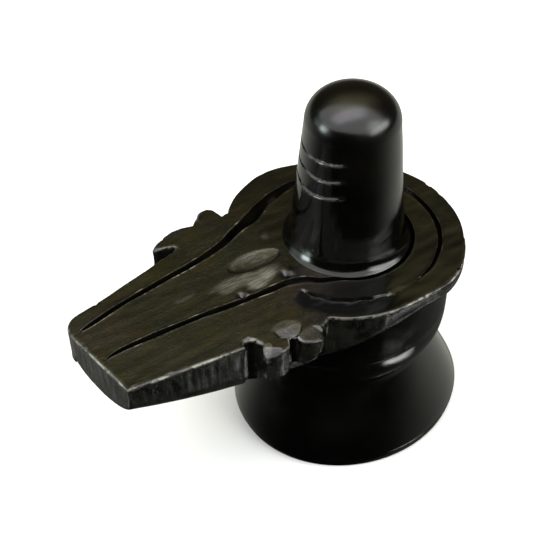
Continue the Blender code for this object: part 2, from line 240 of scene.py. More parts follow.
# Panels around: azimuth, elevation and half sizes in degrees, softness, colour, strength
WINDOWS = ((150, 11, 20, 10, 0.35, (0.9, 1.05, 1.0), 1.2),
           (161, 10, 7, 8, 0.4, (0.9, 1.06, 1.0), 14.0),
           (-60, 21.5, 24, 8.5, 0.25, (1.0, 1.0, 0.96), 6.5),
           (-52, -49.4, 11, 1.2, 0.3, (1.0, 1.0, 0.97), 7.0),
           (60, 68, 27, 19, 0.6, (1.0, 0.92, 0.42), 0.80))


def curve_through(points, steps):
    """Points on a smooth line through the given ones."""
    ends = [points[0]] + list(points) + [points[-1]]
    found = []
    for i in range(1, len(ends) - 2):
        a, b, c, d = (np.array(p, float) for p in ends[i - 1:i + 3])
        for k in range(steps):
            t = k / steps
            found.append(0.5 * (2 * b + (c - a) * t + (2 * a - 5 * b + 4 * c - d) * t ** 2
                                + (3 * b - a - 3 * c + d) * t ** 3))
    found.append(np.array(points[-1], float))
    return np.array(found)


def evenly(points, pitch):
    """The same line with points set about a pitch apart."""
    lengths = np.hypot(*np.diff(points[:, :2], axis=0).T)
    along = np.concatenate([[0], np.cumsum(lengths)])
    count = max(2, round(along[-1] / pitch) + 1)
    wanted = np.linspace(0, along[-1], count)
    return np.array([np.interp(wanted, along, column) for column in points.T]).T


def rough(x, y, z, size, seed):
    """Soft noise from about -1 to 1 at each point, of the given grain size."""
    x, y, z = np.broadcast_arrays(*(np.asarray(part, float) for part in (x, y, z)))
    shift = seed * 17.3
    return np.array([noise.noise((a / size + shift, b / size - shift, c / size + shift))
                     for a, b, c in zip(x.ravel(), y.ravel(), z.ravel())]).reshape(x.shape) * 1.6


def ease(low, high, value):
    """0 below low, 1 above high, and smooth between."""
    t = np.clip((value - low) / (high - low), 0, 1)
    return t * t * (3 - 2 * t)


def mesh_object(name, points, faces):
    """An object from points in millimetres."""
    mesh = bpy.data.meshes.new(name)
    mesh.from_pydata((np.asarray(points) * MM).tolist(), [], faces)
    mesh.validate()
    shape = bmesh.new()
    shape.from_mesh(mesh)
    loose = [point for point in shape.verts if not point.link_faces]
    bmesh.ops.delete(shape, geom=loose, context="VERTS")
    bmesh.ops.recalc_face_normals(shape, faces=shape.faces)
    shape.to_mesh(mesh)
    shape.free()
    obj = bpy.data.objects.new(name, mesh)
    bpy.context.scene.collection.objects.link(obj)
    return obj


def strips(rows):
    """Four-sided faces between closed rows of point numbers."""
    faces = []
    for low, high in zip(rows, rows[1:]):
        for i in range(len(low)):
            j = (i + 1) % len(low)
            faces.append((int(low[i]), int(low[j]), int(high[j]), int(high[i])))
    return faces


def loft_object(name, rings):
    """A closed solid through rings with equally many points, with flat ends."""
    numbers = np.arange(len(rings) * len(rings[0])).reshape(len(rings), -1)
    ends = [tuple(int(i) for i in numbers[end]) for end in (0, -1)]
    return mesh_object(name, np.concatenate(rings), strips(numbers) + ends)


def swell(pairs, share):
    """How far the disc's edge stands out at a place across it."""
    knots = curve_through(pairs, 8)
    return np.interp(share, knots[:, 0], knots[:, 1])


def disc_edge(x, pairs):
    """Half width of the disc at x on one side."""
    share = np.clip(x / DISC_RADIUS, -1, 1)
    return DISC_RADIUS * np.sqrt(1 - share ** 2) * swell(pairs, share)


def spout_edge(x, tip, root):
    """Half width of the spout at x on one side."""
    return root + (tip - root) * (-ROOT_PLACE - x) / (SPOUT_REACH - ROOT_PLACE)


def back_edge(x):
    """Y of the spout's back edge, with its rounded corner, or of the disc where that is wider."""
    edge = np.maximum(spout_edge(x, TIP_BACK_WIDTH, ROOT_BACK_WIDTH), disc_edge(x, BACK_SWELL))
    past = np.clip(1 - (x + SPOUT_REACH) / TIP_CORNER, 0, 1)
    return edge - TIP_CORNER * (1 - np.sqrt(1 - past ** 2))


def front_edge(x):
    """Y of the spout's front edge, or of the disc where that is wider."""
    return -np.maximum(spout_edge(x, TIP_FRONT_WIDTH, ROOT_FRONT_WIDTH), disc_edge(x, FRONT_SWELL))


def base_front(x):
    """Y of the plate's front edge, leaving the lugs out."""
    return np.where(x > -ROOT_PLACE, -disc_edge(x, FRONT_SWELL), front_edge(x))


def base_back(x):
    """Y of the plate's back edge, leaving the lugs out."""
    return np.where(x > -ROOT_PLACE, disc_edge(x, BACK_SWELL), back_edge(x))


def skew(x):
    """How far the spout's end leans askew at x, for each unit of Y."""
    start = SPOUT_REACH * (1 - SKEWED_SHARE)
    return TIP_SKEW * np.clip((-x - start) / (SPOUT_REACH * SKEWED_SHARE), 0, 1)


def skewed(points):
    """The points with the spout's end cut a little askew."""
    x, y = points[:, 0], points[:, 1]
    return np.column_stack([x - skew(x) * y, y])


def lug_line(pairs, edge):
    """A lug outline in plan, from its places against the plate's own edge."""
    pairs = np.array(pairs)
    return np.column_stack([pairs[:, 0], edge(pairs[:, 0]) + pairs[:, 1]])


def plate_outline():
    """The plate's plan outline, from the tip's front corner round the disc and back to the tip."""
    corner = np.linspace(0, math.pi / 2, 10)
    spout = np.concatenate([-SPOUT_REACH + TIP_CORNER * (1 - np.cos(corner)),
                            np.linspace(-SPOUT_REACH + TIP_CORNER, -ROOT_PLACE, 60)[1:]])
    start = math.acos(ROOT_PLACE / DISC_RADIUS)
    turn = np.linspace(start, 2 * math.pi - start, 240)[1:-1]
    x = -DISC_RADIUS * np.cos(turn)
    y = -DISC_RADIUS * np.sin(turn)
    share = x / DISC_RADIUS
    disc = np.column_stack([x, y * np.where(y < 0, swell(FRONT_SWELL, share), swell(BACK_SWELL, share))])
    past_front_lugs = (disc[:, 1] < 0) & (disc[:, 0] > FRONT_LUGS[-1][0])
    past_back_lugs = (disc[:, 1] >= 0) & (disc[:, 0] > BACK_LUGS[0][0])
    front = spout[spout < FRONT_LUGS[0][0]]
    back = spout[spout < BACK_LUGS[-1][0]][::-1]
    disc = disc[past_front_lugs | past_back_lugs]
    loop = np.concatenate([np.column_stack([front, front_edge(front)]), lug_line(FRONT_LUGS, base_front),
                           disc, lug_line(BACK_LUGS, base_back), np.column_stack([back, back_edge(back)])])
    return evenly(skewed(np.concatenate([loop, loop[:1]])), OUTLINE_PITCH)[:-1]


def outside(points):
    """How far a point of a lug stands out past the plate's own edge."""
    x, y = points.T
    return np.where(x > LUGS_END, -9.0, np.maximum(base_front(x) - y, y - base_back(x)))


def lug_floor(points):
    """Height of the lugs' undersides; the far front one tapers up to the disc."""
    x, y = points.T
    return np.where(y < 0, np.interp(x, *zip(*FRONT_LUG_FLOOR)), PLATE_TOP - BACK_LUG_DEPTH)


def lug_facets(points):
    """Slanting cuts on the lugs' tops, as depths below the plate's top."""
    x, y = points.T
    depth = np.zeros(len(points))
    for (ax, ay), (nx, ny), slope, (cx, cy), reach in LUG_FACETS:
        beyond = np.maximum((x - ax) * nx + (y - ay) * ny, 0)
        inside = 1 - ease(reach - 0.5, reach, np.hypot(x - cx, y - cy))
        depth = np.maximum(depth, beyond * slope * inside)
    return depth


def side_depth(x):
    """Height of the plate's upright side at x."""
    share = np.clip((x + ROOT_PLACE) / RIM_TAPER_PLACE, 0, 1)
    disc = RIM_THICKNESS + (ROOT_THICKNESS - RIM_THICKNESS) * (1 - share) ** RIM_TAPER
    share = np.clip((x + SPOUT_REACH) / (SPOUT_REACH - ROOT_PLACE), 0, 1)
    rise = np.sin(share * math.pi / 2) ** SPOUT_TAPER
    return np.where(x > -ROOT_PLACE, disc, TIP_THICKNESS + (ROOT_THICKNESS - TIP_THICKNESS) * rise)


def keel_depth(x):
    """How far the rounded underside hangs below the sides at x."""
    places = (-SPOUT_REACH, -ROOT_PLACE, 0, DISC_RADIUS)
    return np.interp(x, places, (TIP_KEEL, ROOT_KEEL, RIM_KEEL, FAR_KEEL))


def on_ring(start, end, count, radius, wide, deep):
    """Groove points on a ring about the axis, with its shares of width and depth at both ends."""
    turn = np.radians(np.linspace(start, end, count))
    return list(zip(radius * np.cos(turn), radius * np.sin(turn),
                    np.linspace(*wide, count), np.linspace(*deep, count), [0] * count))


def by_shares(reach, width, rows):
    """Groove points whose places are given as shares of a reach along -X and of a width along Y."""
    return [(-reach * u, width * v, wide, deep, lean) for u, v, wide, deep, lean in rows]


def outer_groove():
    """The groove along the back of the spout and on around the disc: x, y, width, depth, lean."""
    ring = DISC_RADIUS - RING_BORDER
    points = by_shares(SPOUT_REACH, TIP_BACK_WIDTH, (
        (0.985, 0.66, 0.3, 0.05, 0), (0.92, 0.73, 0.8, 0.8, 0), (0.79, 0.86, 0.9, 0.9, 0),
        (0.64, 0.94, 1, 1, 0), (0.52, 1.0, 1.1, 1, 0)))
    points += by_shares(SPOUT_REACH, ring, ((0.39, 0.615, 1.3, 1.1, 0.1),))
    points += by_shares(ring, ring, (
        (0.93, 0.72, 1.7, 1.3, 0.2), (0.68, 0.80, 2.2, 1.4, 0.3), (0.42, 0.92, 2.0, 1.3, 0.3)))
    points += on_ring(92, -62, 9, ring, (1.5, 0.6), (1.1, 0.55))
    points += on_ring(-72, -82, 2, ring, (0.45, 0.25), (0.35, 0.03))
    return points


def inner_groove():
    """The groove along the front of the spout and on around the lingam's foot."""
    foot = FLARE_RADIUS + FOOT_GROOVE_GAP
    points = by_shares(SPOUT_REACH, -TIP_FRONT_WIDTH, (
        (0.972, 0.18, 0.3, 0.05, 0), (0.91, 0.14, 0.8, 0.8, 0), (0.76, 0.19, 1, 1, 0),
        (0.61, 0.27, 1, 1, 0), (0.48, 0.37, 1.1, 1, 0), (0.37, 0.43, 1.2, 1, 0)))
    points += by_shares(foot, -foot, (
        (1.36, 0.36, 1.2, 1, 0), (1.1, 0.46, 1.2, 1, 0), (0.93, 0.6, 1.1, 1, 0)))
    points += on_ring(-133, 10, 12, foot, (1, 0.8), (1, 0.8))
    points += on_ring(26, 40, 2, foot, (0.5, 0.3), (0.3, 0.02))
    return points


def groove_line(points):
    """A groove as close points with half widths and depths that waver as a hand-cut line does."""
    line = evenly(curve_through(points, 12), GROOVE_PITCH)
    x, y = line[:, 0], line[:, 1]
    line[:, 2] = GROOVE_HALF_WIDTH * line[:, 2] * (1 + GROOVE_WAVER * rough(x, y, 0, 4.2, 1))
    line[:, 3] = GROOVE_DEPTH * line[:, 3] * (1 + DEPTH_WAVER * rough(x, y, 0, 5.0, 2))
    return line


def turned_left(ahead):
    """Unit vectors a quarter turn to the left of the given ones."""
    ahead = ahead / np.hypot(*ahead.T)[:, None]
    return np.column_stack([-ahead[:, 1], ahead[:, 0]])


def across(line):
    """Unit vectors to the left of a line at each of its points."""
    return turned_left(np.gradient(line[:, :2], axis=0))


def inward(outline):
    """Unit vectors into the plate at each point of its outline."""
    return turned_left(np.roll(outline, -1, axis=0) - np.roll(outline, 1, axis=0))


def blocks(points):
    """Slices that take the points a block at a time, which keeps the tables of distances small."""
    return [slice(low, low + BLOCK) for low in range(0, len(points), BLOCK)]


def nearest(points, line):
    """Index of the nearest point of a line, distance to it, and signed distance across the line."""
    which = np.empty(len(points), int)
    for block in blocks(points):
        gaps = ((points[block, None] - line[None, :, :2]) ** 2).sum(axis=2)
        which[block] = gaps.argmin(axis=1)
    offset = points - line[which, :2]
    side = (offset * across(line)[which]).sum(axis=1)
    return which, np.hypot(*offset.T), side


def edge_distance(points, outline):
    """Distance of each point from the plate's outline, and the nearest outline point."""
    distance = np.full(len(points), 1e9)
    which = np.zeros(len(points), int)
    span = np.roll(outline, -1, axis=0) - outline
    size = (span ** 2).sum(axis=1)
    for block in blocks(points):
        away = points[block, None] - outline[None]
        share = np.clip((away * span[None]).sum(axis=2) / size, 0, 1)
        found = np.sqrt(((away - share[..., None] * span[None]) ** 2).sum(axis=2))
        which[block] = found.argmin(axis=1)
        distance[block] = found.min(axis=1)
    return distance, which


def rounding(distance, radius):
    """How far a worn edge has dropped at a distance inside it."""
    share = np.clip(1 - distance / radius, 0, 1)
    return radius * (1 - np.sqrt(1 - share ** 2))


def edge_radius(points):
    """The worn edge's radius, which changes along it, with small chips."""
    x, y = points.T
    chips = ease(0.45, 0.9, rough(x, y, 0, 2.2, 5)) * EDGE_CHIP
    return EDGE_ROUND * (1 + 0.45 * rough(x, y, 0, 5.5, 4)) + chips


def groove_cut(points, line):
    """Depth of a groove at each point, less the small lips that the tool raised beside it."""
    which, distance, side = nearest(points, line)
    half, deep, lean = line[which, 2], line[which, 3], line[which, 4]
    share = side / half
    slope = np.where(share > lean, 1 - lean, 1 + lean)
    cut = deep * np.clip(1 - np.abs(share - lean) / slope, 0, 1) ** GROOVE_PROFILE
    lip = np.clip(1 - np.abs(np.abs(share) - LIP_PLACE) / 0.25, 0, 1) * np.minimum(deep, 0.6) * LIP_RISE
    return np.where(distance < np.maximum(2.5 * half, 1.2), cut - lip, 0)


def hollow_edge(turn):
    """Radius of the front hollow's inner edge at an angle in degrees."""
    angle = np.radians(turn)
    return DISC_RADIUS - RING_BORDER - 0.5 + 0.18 * np.sin(angle * 13) + 0.12 * np.sin(angle * 31)


def front_hollow(x, y):
    """A hollow outside the ring at the disc's front, steep along the ring, deepest by the far lug."""
    radius = np.hypot(x, y)
    turn = np.degrees(np.arctan2(y, x))
    span = ease(HOLLOW_START, HOLLOW_START + 11, turn) * (1 - ease(HOLLOW_END - 24, HOLLOW_END + 2, turn))
    deep = HOLLOW_DEPTH * span * (0.42 + 0.58 * (1 - ease(-128, -100, turn)))
    out = radius - hollow_edge(turn)
    wall = np.clip(out / HOLLOW_WALL, 0, 1)
    rise = 1 - ease(0.6, HOLLOW_REACH, out)
    return deep * wall * rise * (1 + 0.10 * rough(x * 0.35, y, 0, 1.6, 10))


def scoop_place(x, y):
    """Shares along and across the leaf-shaped scoop."""
    u = (x - SCOOP_PLACE[0]) / SCOOP_HALF[0]
    return u, (y - SCOOP_PLACE[1] + 0.6 * u) / SCOOP_HALF[1]


def scoop(x, y):
    """A leaf-shaped hollow before the lingam's foot, with a sharper lower rim."""
    u, v = scoop_place(x, y)
    inside = np.clip(1 - u ** 2 - v ** 2, 0, 1)
    return SCOOP_DEPTH * inside ** 0.6 * (0.7 - 0.3 * v)


def nubs(x, y):
    """The small notches beside the front groove, each with a bump behind it."""
    height = np.zeros_like(x)
    for place_x, place_y, size in NUBS:
        u = (x - place_x) / size
        v = (y - place_y) / size
        height -= NUB_DEPTH * np.exp(-((u + 0.3) ** 2 * 5 + v ** 2 * 2.2))
        height += NUB_RISE * np.exp(-((u - 0.8) ** 2 * 4 + v ** 2 * 2.5))
    return height


def carving(points, lines):
    """Height of the plate's top against PLATE_TOP, before its edge is rounded."""
    x, y = points.T
    height = TOP_WAVE * rough(x, y, 0, 11, 6) + TOP_MARKS * rough(x * 0.35, y, 0, 2.4, 7)
    for line in lines:
        height -= groove_cut(points, line)
    return height - front_hollow(x, y) - scoop(x, y) + nubs(x, y) - lug_facets(points)


def within(points, outline):
    """Which points lie inside the outline."""
    inside = np.zeros(len(points), bool)
    for (ax, ay), (bx, by) in zip(outline, np.roll(outline, -1, axis=0)):
        crosses = (ay > points[:, 1]) != (by > points[:, 1])
        if crosses.any():
            inside ^= crosses & (points[:, 0] < (bx - ax) * (points[:, 1] - ay) / (by - ay) + ax)
    return inside


def fill_points(outline, pitch, margin):
    """Points of a slightly shaken hexagonal grid that lie inside the outline by a margin."""
    low, high = outline.min(axis=0), outline.max(axis=0)
    rows = []
    for r, y in enumerate(np.arange(low[1], high[1], pitch * 0.866)):
        xs = np.arange(low[0] + (r % 2) * pitch / 2, high[0], pitch)
        rows.append(np.column_stack([xs, np.full(len(xs), y)]))
    points = np.concatenate(rows)
    points = points + np.random.default_rng(7).uniform(-0.12, 0.12, points.shape) * pitch
    points = points[within(points, outline)]
    distance, _ = edge_distance(points, outline)
    return points[distance > margin]


def finely_cut(x, y):
    """Where the plate's top is carved more finely: the scoop and the deep end of the front hollow."""
    turn = np.degrees(np.arctan2(y, x))
    hollow = (np.hypot(x, y) > DISC_RADIUS - RING_BORDER - 1) & (turn > -165) & (turn < -105)
    return hollow | (np.hypot(*scoop_place(x, y)) < 1.2)


def triangulated(outline, inner, chains):
    """Triangles within an outline through inner points, along chains of them."""
    points = [Vector(p) for p in np.concatenate([outline, inner])]
    edges = [(i, j) for chain in chains for i, j in zip(chain, chain[1:])]
    found = delaunay_2d_cdt(points, edges, [list(range(len(outline)))], 1, 1e-5, True)
    places = np.array([(p.x, p.y) for p in found[0]])
    order = {old: new for new, origins in enumerate(found[3]) for old in origins}
    centres = np.array([places[list(face)].mean(axis=0) for face in found[2]])
    faces = [tuple(face) for face, kept in zip(found[2], within(centres, outline)) if kept]
    return places, faces, [order[i] for i in range(len(outline))]


def edge_rings(outline, shares, radius):
    """Rings of points a little inside the outline, at shares of a radius."""
    return np.concatenate([outline + inward(outline) * (radius * share)[:, None] for share in shares])


def hollow_rows(lines):
    """Rows of points along the front hollow's upper edge and the foot of its wall, clear of the grooves."""
    turn = np.linspace(HOLLOW_START, HOLLOW_END, 190)
    angle = np.radians(turn)
    rows = []
    for out in (0, HOLLOW_WALL):
        reach = hollow_edge(turn) + out
        row = np.column_stack([reach * np.cos(angle), reach * np.sin(angle)])
        rows.append(row[nearest(row, np.concatenate(lines))[1] > GROOVE_HALF_WIDTH * 2.4])
    return rows


def top_surface(outline, lines):
    """The plate's carved top."""
    radius = edge_radius(outline)
    rings = edge_rings(outline, TOP_RINGS, radius)
    rows = []
    for line in lines:
        for share in GROOVE_ROWS:
            offset = line[:, 2] * (line[:, 4] if share is None else share)
            rows.append(line[:, :2] + across(line) * offset[:, None])
    rows += hollow_rows(lines)
    fill = fill_points(outline, FILL_PITCH, 0.75)
    dense = fill_points(outline, FILL_PITCH / 2, 0.75)
    fill = np.concatenate([fill[~finely_cut(*fill.T)], dense[finely_cut(*dense.T)]])
    keep = np.hypot(*fill.T) > FLARE_RADIUS - 2.5
    for row in rows:
        keep &= nearest(fill, row)[1] > FILL_PITCH * 0.5
    starts = len(outline) + len(rings) + np.cumsum([0] + [len(row) for row in rows])
    chains = [range(low, high) for low, high in zip(starts, starts[1:])]
    places, faces, loop = triangulated(outline, np.concatenate([rings] + rows + [fill[keep]]), chains)
    distance, which = edge_distance(places, outline)
    height = PLATE_TOP + carving(places, lines) - rounding(distance, radius[which])
    return np.column_stack([places, height]), faces, loop


def under_surface(outline):
    """The plate's smooth rounded underside, stepped where the lugs stand out."""
    rings = edge_rings(outline, UNDER_RINGS, np.full(len(outline), UNDER_ROUND))
    fill = fill_points(outline, UNDER_PITCH, 1.4)
    fill = fill[np.abs(outside(fill)) > 0.5]
    steps = []
    for edge, out, low, high in ((base_front, -1, -39, -23.5), (base_back, 1, -37.5, -22)):
        x = np.arange(low, high, 0.6)
        steps += [np.column_stack([x, edge(x) + out * shift]) for shift in (-0.25, 0.05)]
    places, faces, loop = triangulated(outline, np.concatenate([rings, fill] + steps), [])
    x, y = places.T
    distance, _ = edge_distance(places, outline)
    straight = x + skew(x) * y
    back, front = base_back(straight), base_front(straight)
    share = np.clip((2 * y - back - front) / np.maximum(back - front, 1e-6), -1, 1)
    sag = keel_depth(x) * np.sqrt(1 - share ** 2) ** 0.9 * (1 + 0.1 * share)
    height = PLATE_TOP - side_depth(x) - sag
    height += (lug_floor(places) - height) * ease(-0.25, 0.05, outside(places))
    height += rounding(distance, UNDER_ROUND)
    height += UNDER_WAVE * rough(x, y, 0, 9, 14) * ease(0, 1.5, distance)
    return np.column_stack([places, height]), faces, loop


def plate(lines):
    """The plate and spout as one closed solid."""
    outline = plate_outline()
    top, top_faces, top_loop = top_surface(outline, lines)
    under, under_faces, under_loop = under_surface(outline)
    upper, lower = top[top_loop], under[under_loop]
    along = np.cumsum(np.hypot(*np.diff(np.vstack([outline, outline[:1]]), axis=0).T))
    points = [top, under]
    rows = [np.array(top_loop)]
    for share in WALL_ROWS:
        ring = upper + (lower - upper) * share
        strokes = rough(along, ring[:, 2] * 0.18, 0, 1.5, 20) + rough(along, ring[:, 2], 0, 6, 21)
        depth = WALL_STROKES * (1 + strokes * 0.8) * math.sin(share * math.pi) ** 0.5
        ring[:, :2] += inward(outline) * np.maximum(depth, 0)[:, None]
        rows.append(np.arange(len(ring)) + sum(len(part) for part in points))
        points.append(ring)
    rows.append(np.array(under_loop) + len(top))
    faces = top_faces + [tuple(i + len(top) for i in face) for face in under_faces] + strips(rows)
    return mesh_object("shiva_lingam_stone", np.concatenate(points), faces)


def shaft_radius(height):
    """Radius of the lingam's tapering shaft at a height."""
    shoulder = PLATE_TOP + LINGAM_HEIGHT - DOME_HEIGHT
    share = (shoulder - height) / (shoulder - PLATE_TOP)
    return DOME_RADIUS + (SHAFT_FOOT_RADIUS - DOME_RADIUS) * share


def line_cut(turn, height):
    """Depth of the lines cut across the lingam at an angle and a height."""
    depth = np.zeros_like(turn)
    share = (turn % (2 * math.pi) - math.pi) / (LINE_SPAN / 2)
    fade = np.clip(1.02 - np.abs(share) ** 6, 0, 1) * (np.abs(share) < 1.02)
    for line in range(LINE_COUNT):
        middle = PLATE_TOP + LINGAM_HEIGHT - TOP_LINE_DROP - LINE_PITCH * line + LINE_LIFT * share ** 2
        middle = middle + LINE_WAVER * np.sin(share * 5 + line * 2.1)
        cut = np.clip(1 - np.abs(height - middle) / (LINE_HALF_WIDTH * (0.5 + 0.5 * fade)), 0, 1)
        depth += LINE_DEPTH * fade * cut
    return depth


def lingam_profile():
    """Radius and height of the lingam's side, from its crown down into the plate."""
    shoulder = PLATE_TOP + LINGAM_HEIGHT - DOME_HEIGHT
    profile = []
    for step in range(1, DOME_STEPS + 1):
        angle = math.pi / 2 * step / DOME_STEPS
        profile.append((DOME_RADIUS * math.sin(angle) ** (2 / DOME_FULLNESS),
                        shoulder + DOME_HEIGHT * max(math.cos(angle), 0) ** (2 / DOME_FULLNESS)))
    cut_top = PLATE_TOP + LINGAM_HEIGHT - TOP_LINE_DROP + LINE_LIFT + 1
    cut_low = cut_top - LINE_LIFT - 2 - LINE_PITCH * (LINE_COUNT - 1)
    heights = list(np.linspace(shoulder, cut_top, 8)[1:])
    heights += list(np.arange(cut_top, cut_low, -LINE_HALF_WIDTH / 2)[1:])
    heights += list(np.linspace(cut_low, PLATE_TOP + FLARE_HEIGHT, 20)[1:])
    profile += [(shaft_radius(height), height) for height in heights]
    for step in range(1, FLARE_STEPS + 1):
        share = step / FLARE_STEPS
        height = PLATE_TOP + FLARE_HEIGHT * (1 - share)
        flare = (FLARE_RADIUS - SHAFT_FOOT_RADIUS) * share ** FLARE_POWER
        profile.append((shaft_radius(height) + flare, height))
    return profile + [(FLARE_RADIUS, PLATE_TOP - SINK * 0.5), (FLARE_RADIUS, PLATE_TOP - SINK * 0.9)]


def lingam():
    """The domed lingam with its flared foot, as one closed solid."""
    turn = np.linspace(0, 2 * math.pi, TURN_STEPS, endpoint=False)
    rings = []
    for radius, height in lingam_profile():
        level = np.full(TURN_STEPS, height)
        wobble = SHAFT_WAVE * rough(radius * np.cos(turn), radius * np.sin(turn), height, 9, 30)
        reach = np.maximum(radius + wobble * min(1, radius / 6) - line_cut(turn, level), 0.02)
        rings.append(np.column_stack([reach * np.cos(turn), reach * np.sin(turn), level]))
    return loft_object("lingam", rings[::-1])


def pedestal_profile():
    """Radius and height of the pedestal's side, from the ground up into the plate."""
    profile = []
    for step in range(6):
        angle = math.pi / 2 * step / 5
        profile.append((BASE_RADIUS - BASE_EDGE * (1 - math.sin(angle)), BASE_EDGE * (1 - math.cos(angle))))
    for step in range(1, 6):
        share = step / 6
        profile.append((BASE_RADIUS + (BELLY_RADIUS - BASE_RADIUS) * math.sin(share * math.pi / 2),
                        BASE_EDGE + (BELLY_HEIGHT - BASE_EDGE) * share))
    for step in range(29):
        share = step / 30
        profile.append((BELLY_RADIUS - (BELLY_RADIUS - WAIST_RADIUS) * share ** WAIST_ROUND,
                        BELLY_HEIGHT + (WAIST_HEIGHT - BELLY_HEIGHT) * share))
    for step in range(3, 27):
        share = (step / 27) ** 1.4
        profile.append((CUP_RADIUS - (CUP_RADIUS - WAIST_RADIUS) * (1 - share) ** CUP_ROUND,
                        WAIST_HEIGHT + (CUP_LINE_HEIGHT - WAIST_HEIGHT) * share))
    for step in range(-4, 5):
        dip = CUP_LINE_DEPTH * math.cos(math.pi / 2 * step / 4)
        profile.append((CUP_RADIUS - dip, CUP_LINE_HEIGHT + CUP_LINE_HALF_WIDTH * step / 4))
    low = CUP_LINE_HEIGHT + CUP_LINE_HALF_WIDTH
    top = PLATE_TOP - RIM_THICKNESS / 2 - SINK / 2
    for step in range(1, 15):
        share = step / 14
        profile.append((CUP_RADIUS + (CUP_TOP_RADIUS - CUP_RADIUS) * share, low + (top - low) * share))
    return profile


def pedestal():
    """The turned, waisted pedestal as one closed solid, a little oval and leaning."""
    turn = np.linspace(0, 2 * math.pi, TURN_STEPS, endpoint=False)
    rings = []
    for radius, height in pedestal_profile():
        lean = max(0, 1 - height / WAIST_HEIGHT)
        x = WAIST_SHIFT_X + LEAN_X * lean + radius * (1 + OVAL) * np.cos(turn)
        y = WAIST_SHIFT_Y + LEAN_Y * lean + radius * (1 - OVAL) * np.sin(turn)
        rings.append(np.column_stack([x, y, np.full(TURN_STEPS, height)]))
    return loft_object("pedestal", rings)


def join(body, parts):
    """Joins the parts into the body as one closed solid."""
    for part in parts:
        step = body.modifiers.new(part.name, "BOOLEAN")
        step.object = part
        step.operation = "UNION"
        step.solver = "EXACT"
    bpy.context.view_layer.update()
    evaluated = body.evaluated_get(bpy.context.evaluated_depsgraph_get())
    mesh = bpy.data.meshes.new_from_object(evaluated)
    old = body.data
    body.modifiers.clear()
    body.data = mesh
    bpy.data.meshes.remove(old)
    for part in parts:
        bpy.data.objects.remove(part, do_unlink=True)


def pale_places(x, y, z):
    """How much paler the fresh chisel work is than the stone about it."""
    u, v = scoop_place(x, y)
    arcs = 0.72 + 0.28 * np.sin(17 * np.hypot(u, v) + 1.5 * rough(x, y, 0, 2.0, 44))
    leaf = ease(0.0, 0.3, 1 - u ** 2 - v ** 2) * (0.55 + 0.45 * v + 0.35 * u)
    tone = np.maximum(leaf, 0) * arcs
    ragged = 1.3 * rough(x * 0.6, y, 0, 2.6, 43)
    for (middle_x, middle_y), (long, wide), turn, much in PALE_PATCHES:
        t = math.radians(turn)
        east = x + ragged - middle_x
        north = y + ragged * 0.5 - middle_y
        along = (east * math.cos(t) + north * math.sin(t)) / long
        aside = (north * math.cos(t) - east * math.sin(t)) / wide
        tone = np.maximum(tone, much * (1 - ease(0.55, 1.05, np.hypot(along, aside))))
    return tone * (z > PLATE_TOP - 3.0)


def groove_marks(x, y, z, lines):
    """How pale the grooves' lips are, partly rubbed and partly painted highlight, and which points lie down
    in a groove to take painted shade.
    """
    plan = np.column_stack([x, y])
    worn_and_glint, deep = np.zeros(len(x)), np.zeros(len(x))
    wear_and_glint = (0.1 + 0.6 * ease(0.0, 0.7, rough(x, y, z, 3.0, 41))) * (1 - 0.85 * ease(-24, -12, x))
    for line in lines:
        which, near, side = nearest(plan, line)
        share = np.abs(side) / line[which, 2]
        strong = (line[which, 3] > 0.3) & (near < 3) & (z < PLATE_TOP + 0.6)
        lip = np.clip(1 - np.abs(share - LIP_PLACE) / 0.18, 0, 1) * (z > PLATE_TOP - 0.5)
        worn_and_glint = np.maximum(worn_and_glint, lip * strong * wear_and_glint)
        # Points down in a groove take painted shade.
        deep = np.maximum(deep, (share < 0.95) * strong)
    return worn_and_glint, deep


def painted_shade_places(x, y, z):
    """Painted shade on the carved stone away from the grooves: the front hollow, the disc by the lingam's
    foot, the scoop's lower rim and the notches.
    """
    # Painted shade: the front hollow, a patch over the disc by the foot, and the scoop's lower rim.
    hollow = ease(0.03, 0.25, front_hollow(x, y) / HOLLOW_DEPTH) * (z > PLATE_TOP - 3)
    disc = ease(-24, -12, x) * (0.85 - 0.35 * ease(-20, -8, y)) * (PLATE_TOP - z < 1.2)
    u, v = scoop_place(x, y)
    leaf_rim_shade = 0.85 * np.exp(-((np.hypot(u, v) - 0.97) / 0.09) ** 2) * (1 - ease(-0.3, 0.1, v))
    dark = np.maximum(np.maximum(hollow, disc), leaf_rim_shade)
    # Painted shade in the small notches beside the front groove and in the front notches by the lugs.
    for place_x, place_y, size in NUBS:
        notch = np.hypot((x - place_x) / size + 0.3, 0.7 * (y - place_y) / size)
        dark = np.maximum(dark, 0.9 * (1 - ease(0.2, 0.5, notch)) * (z > PLATE_TOP - 2))
    for place_x, place_y in NOTCH_SHADE_PLACES:
        dark = np.maximum(dark, 1 - ease(*NOTCH_SHADE_REACH, np.hypot(x - place_x, y - place_y)))
    return dark


